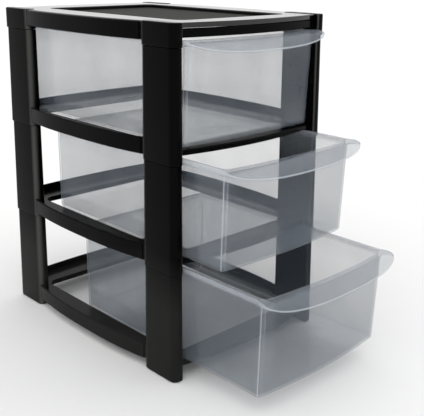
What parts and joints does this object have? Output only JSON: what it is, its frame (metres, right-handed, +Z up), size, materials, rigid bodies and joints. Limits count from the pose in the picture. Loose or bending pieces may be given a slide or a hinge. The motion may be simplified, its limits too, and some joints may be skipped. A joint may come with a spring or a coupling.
{
  "type": "desktop drawer tower",
  "caption": "Small free-standing storage tower with an open black plastic frame of rings and corner legs, a cover with a sunk panel, and clear sliding drawers with a lip handle.",
  "frame": {"origin": "on the surface that the feet stand on, under the centre of the whole part with its drawers as they stand at rest", "axes": "+Z up, -Y towards the front, where the drawers come out, +X to the right as seen from the front"},
  "size_m": [0.1888, 0.3532, 0.2952],
  "materials": {
    "frame": "black, glossy, moulded",
    "cover": "glossy black rim round a finely textured dark grey panel",
    "clear": "clear, faintly blue-grey, glossy"
  },
  "bodies": {
    "tower": {"base_frame": "frame", "lower_shelf_frame": "frame", "upper_shelf_frame": "frame", "top_frame": "frame", "top_cover": "cover", "bottom_leg_front_left": "frame", "bottom_leg_front_right": "frame", "bottom_leg_rear_right": "frame", "bottom_leg_rear_left": "frame", "middle_leg_front_left": "frame", "middle_leg_front_right": "frame", "middle_leg_rear_right": "frame", "middle_leg_rear_left": "frame", "top_leg_front_left": "frame", "top_leg_front_right": "frame", "top_leg_rear_right": "frame", "top_leg_rear_left": "frame", "cap_front_left": "frame", "cap_front_right": "frame", "cap_rear_right": "frame", "cap_rear_left": "frame"},
    "bottom_box": {"bottom_drawer": "clear"},
    "middle_box": {"middle_drawer": "clear"},
    "top_box": {"top_drawer": "clear"}
  },
  "joints": [
    {"name": "bottom_drawer_slide", "type": "slide", "parent": "tower", "child": "bottom_box", "axis": [0, -1, 0], "range_m": [-0.0856, 0.0244]},
    {"name": "middle_drawer_slide", "type": "slide", "parent": "tower", "child": "middle_box", "axis": [0, -1, 0], "range_m": [-0.0445, 0.0655]},
    {"name": "top_drawer_slide", "type": "slide", "parent": "tower", "child": "top_box", "axis": [0, -1, 0], "range_m": [0, 0.11]}
  ]
}
